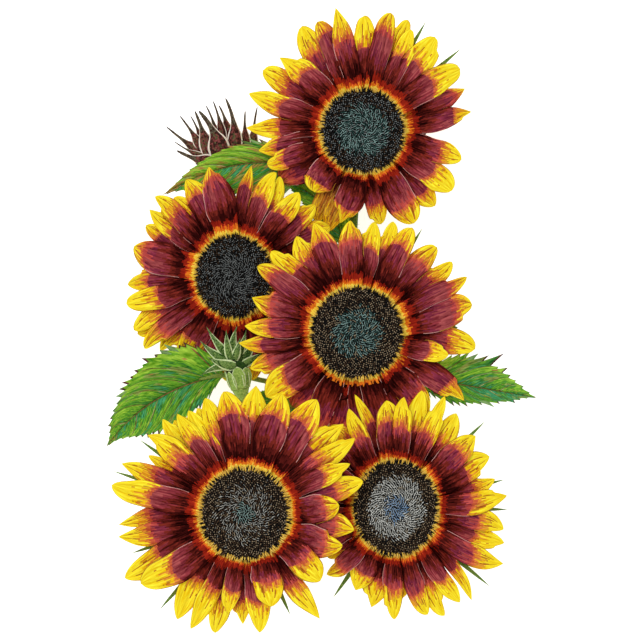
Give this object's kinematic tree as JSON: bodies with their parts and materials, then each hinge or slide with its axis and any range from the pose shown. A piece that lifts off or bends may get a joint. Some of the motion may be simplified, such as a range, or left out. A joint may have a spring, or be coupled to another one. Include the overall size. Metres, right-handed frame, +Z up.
{
  "type": "cut flowering sunflower spray",
  "caption": "Cut flowering spray of a branching red and yellow sunflower, lying on its back with open heads, buds and leaves on one stem.",
  "frame": {"origin": "centre of the bounding box's base, on the floor that the spray lies on", "axes": "+Z up out of the open heads' faces, +Y from the cut foot of the stem to the top head, +X to the right of that seen from above"},
  "size_m": [0.282, 0.4054, 0.1076],
  "materials": {
    "stem": "matte, finely ribbed green stem with pale bristles",
    "stalk": "matte, finely ribbed green stalk with pale bristles",
    "bract": "matte, softly hairy green",
    "dark_bract": "matte red-brown with pale edges",
    "ray": "satin burgundy petals turning orange and yellow at their tips",
    "disc": "rough near-black florets with a grey-blue centre",
    "leaf": "satin green with red-brown veins"
  },
  "bodies": {
    "root": {"main_stem": "stem", "top_stalk": "stalk", "top_calyx": "bract", "top_rays": "ray", "top_disc": "disc", "left_stalk": "stalk", "left_calyx": "bract", "left_rays": "ray", "left_disc": "disc", "centre_stalk": "stalk", "centre_calyx": "bract", "centre_rays": "ray", "centre_disc": "disc", "lower_right_stalk": "stalk", "lower_right_calyx": "bract", "lower_right_rays": "ray", "lower_right_disc": "disc", "lower_left_stalk": "stalk", "lower_left_calyx": "bract", "lower_left_rays": "ray", "lower_left_disc": "disc", "dark_bud": "dark_bract", "dark_bud_stalk": "stalk", "green_bud": "bract", "green_bud_stalk": "stalk", "upper_left_leaf": "leaf", "left_leaf": "leaf", "right_leaf": "leaf", "small_right_leaf": "leaf", "lower_middle_leaf": "leaf", "upper_middle_leaf": "leaf"}
  },
  "joints": []
}
